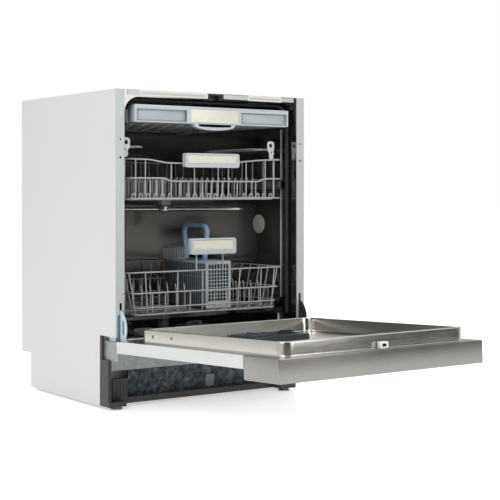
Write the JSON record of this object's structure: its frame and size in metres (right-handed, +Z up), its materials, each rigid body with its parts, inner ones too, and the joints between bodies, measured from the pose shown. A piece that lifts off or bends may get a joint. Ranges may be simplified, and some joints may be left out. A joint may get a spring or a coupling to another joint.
{
  "type": "built-in dishwasher",
  "caption": "Built-in dishwasher with its door let down, two wire racks and a cutlery tray on slides, spray arms, a cutlery basket, hinged door and open plinth base.",
  "frame": {"origin": "on the floor, in the middle of the four feet", "axes": "+Z up, -Y towards the user through the door, +X to the user's right"},
  "size_m": [0.598, 1.2445, 0.82],
  "materials": {
    "panel_paint": "satin",
    "strip_paint": "satin",
    "white_paint": "gloss",
    "tub_steel": "bright",
    "fascia_steel": "satin",
    "chassis_steel": "satin",
    "hinge_steel": "satin",
    "rack_wire": "satin",
    "arm_steel": "satin",
    "seal_rubber": "matte",
    "bitumen": "matte",
    "felt": "felt",
    "black_plastic": "matte",
    "grey_plastic": "matte",
    "white_plastic": "matte",
    "blue_grey_plastic": "matte",
    "light_plastic": "satin",
    "cream_plastic": "satin",
    "wheel_plastic": "matte",
    "basket_plastic": "satin",
    "blue_plastic": "satin",
    "arm_plastic": "satin"
  },
  "bodies": {
    "cabinet": {"side_panel_left": "panel_paint", "side_panel_right": "panel_paint", "tub_shell": "tub_steel", "tub_back": "tub_steel", "tub_floor": "tub_steel", "door_gasket": "seal_rubber", "mounting_strips": "strip_paint", "worktop_brackets": "strip_paint", "door_lock": "grey_plastic", "chassis_frame": "chassis_steel", "insulation_mat": "bitumen", "base_tray": "black_plastic", "levelling_feet": "black_plastic", "sound_mat": "felt", "hinge_brackets": "chassis_steel", "sump": "grey_plastic", "wash_pump": "grey_plastic", "drain_pump": "grey_plastic", "softener_tank": "white_plastic", "water_inlet_valve": "white_plastic", "feed_duct": "grey_plastic", "tray_runners": "tub_steel", "upper_rails": "tub_steel"},
    "door": {"door_outer_panel": "white_paint", "door_liner": "tub_steel", "door_fascia": "fascia_steel", "control_module": "black_plastic", "dispenser_housing": "grey_plastic", "door_striker": "white_plastic", "hinge_arms": "hinge_steel"},
    "power_button": {"power_button": "fascia_steel"},
    "program_button": {"program_button": "fascia_steel"},
    "start_button": {"start_button": "fascia_steel"},
    "dispenser_lid": {"dispenser_lid": "blue_grey_plastic"},
    "rinse_cap": {"rinse_cap": "black_plastic"},
    "top_tray": {"tray_frame": "grey_plastic", "tray_front": "light_plastic", "tray_handle": "cream_plastic"},
    "upper_rack": {"upper_rack_floor": "rack_wire", "upper_rack_walls": "rack_wire", "upper_rack_tines": "rack_wire", "upper_rack_handle": "light_plastic", "upper_slides": "tub_steel", "upper_spray_duct": "grey_plastic"},
    "cup_shelf_left": {"cup_shelf_left": "rack_wire"},
    "cup_shelf_right": {"cup_shelf_right": "rack_wire"},
    "upper_spray_arm": {"upper_spray_arm": "arm_steel"},
    "lower_rack": {"lower_rack_floor": "rack_wire", "lower_rack_walls": "rack_wire", "lower_rack_tines": "rack_wire", "lower_rack_handle": "light_plastic"},
    "wheel_front_left": {"wheel_front_left": "wheel_plastic"},
    "wheel_front_right": {"wheel_front_right": "wheel_plastic"},
    "wheel_rear_left": {"wheel_rear_left": "wheel_plastic"},
    "wheel_rear_right": {"wheel_rear_right": "wheel_plastic"},
    "cutlery_basket": {"cutlery_basket": "basket_plastic", "cutlery_basket_handle": "blue_plastic"},
    "lower_spray_arm": {"lower_spray_arm": "arm_plastic"},
    "micro_filter": {"micro_filter": "grey_plastic"},
    "salt_cap": {"salt_cap": "blue_grey_plastic"}
  },
  "joints": [
    {"name": "door_hinge", "type": "hinge", "parent": "cabinet", "child": "door", "pos_m": [0, -0.282, 0.1545], "axis": [1, 0, 0], "range_deg": [-87.5, 0]},
    {"name": "top_tray_slide", "type": "slide", "parent": "cabinet", "child": "top_tray", "axis": [0, -1, 0], "range_m": [0, 0.42]},
    {"name": "upper_rack_slide", "type": "slide", "parent": "cabinet", "child": "upper_rack", "axis": [0, -1, 0], "range_m": [0, 0.45]},
    {"name": "lower_rack_slide", "type": "slide", "parent": "cabinet", "child": "lower_rack", "axis": [0, -1, 0], "range_m": [0, 0.5]},
    {"name": "cutlery_basket_lift", "type": "slide", "parent": "lower_rack", "child": "cutlery_basket", "axis": [0, 0, 1], "range_m": [0, 0.02]},
    {"name": "upper_arm_spin", "type": "hinge", "parent": "upper_rack", "child": "upper_spray_arm", "pos_m": [0, 0.01107, 0.512], "axis": [0, 0, 1], "continuous": true},
    {"name": "lower_arm_spin", "type": "hinge", "parent": "cabinet", "child": "lower_spray_arm", "pos_m": [0, 0.01107, 0.206], "axis": [0, 0, 1], "continuous": true},
    {"name": "cup_shelf_left_fold", "type": "hinge", "parent": "upper_rack", "child": "cup_shelf_left", "pos_m": [-0.239, -0.071, 0.676], "axis": [0, -1, 0], "range_deg": [0, 38]},
    {"name": "cup_shelf_right_fold", "type": "hinge", "parent": "upper_rack", "child": "cup_shelf_right", "pos_m": [0.239, -0.071, 0.676], "axis": [0, 1, 0], "range_deg": [0, 38]},
    {"name": "micro_filter_turn", "type": "hinge", "parent": "cabinet", "child": "micro_filter", "pos_m": [0.075, -0.03593, 0.182], "axis": [0, 0, 1], "range_deg": [0, 90]},
    {"name": "salt_cap_turn", "type": "hinge", "parent": "cabinet", "child": "salt_cap", "pos_m": [-0.15, -0.13093, 0.182], "axis": [0, 0, 1], "continuous": true},
    {"name": "dispenser_lid_slide", "type": "slide", "parent": "door", "child": "dispenser_lid", "axis": [-1, 0, 0], "range_m": [0, 0.06]},
    {"name": "rinse_cap_turn", "type": "hinge", "parent": "door", "child": "rinse_cap", "pos_m": [0.09, -0.44923, 0.19884], "axis": [0, 0.0436, 0.999], "range_deg": [0, 90]},
    {"name": "power_button_press", "type": "slide", "parent": "door", "child": "power_button", "axis": [0, 0.0436, 0.999], "range_m": [0, 0.0025], "stiffness_N_per_m": 400, "springref_m": -0.002},
    {"name": "program_button_press", "type": "slide", "parent": "door", "child": "program_button", "axis": [0, 0.0436, 0.999], "range_m": [0, 0.0025], "stiffness_N_per_m": 400, "springref_m": -0.002},
    {"name": "start_button_press", "type": "slide", "parent": "door", "child": "start_button", "axis": [0, 0.0436, 0.999], "range_m": [0, 0.0025], "stiffness_N_per_m": 400, "springref_m": -0.002},
    {"name": "wheel_front_left_roll", "type": "hinge", "parent": "lower_rack", "child": "wheel_front_left", "pos_m": [-0.245, -0.161, 0.242], "axis": [1, 0, 0], "continuous": true},
    {"name": "wheel_rear_left_roll", "type": "hinge", "parent": "lower_rack", "child": "wheel_rear_left", "pos_m": [-0.245, 0.169, 0.242], "axis": [1, 0, 0], "continuous": true},
    {"name": "wheel_front_right_roll", "type": "hinge", "parent": "lower_rack", "child": "wheel_front_right", "pos_m": [0.245, -0.161, 0.242], "axis": [1, 0, 0], "continuous": true},
    {"name": "wheel_rear_right_roll", "type": "hinge", "parent": "lower_rack", "child": "wheel_rear_right", "pos_m": [0.245, 0.169, 0.242], "axis": [1, 0, 0], "continuous": true}
  ],
  "couplings": [
    {"joint": "wheel_front_left_roll", "follows": "lower_rack_slide", "rad_per_m": 50},
    {"joint": "wheel_rear_left_roll", "follows": "lower_rack_slide", "rad_per_m": 50},
    {"joint": "wheel_front_right_roll", "follows": "lower_rack_slide", "rad_per_m": 50},
    {"joint": "wheel_rear_right_roll", "follows": "lower_rack_slide", "rad_per_m": 50}
  ]
}
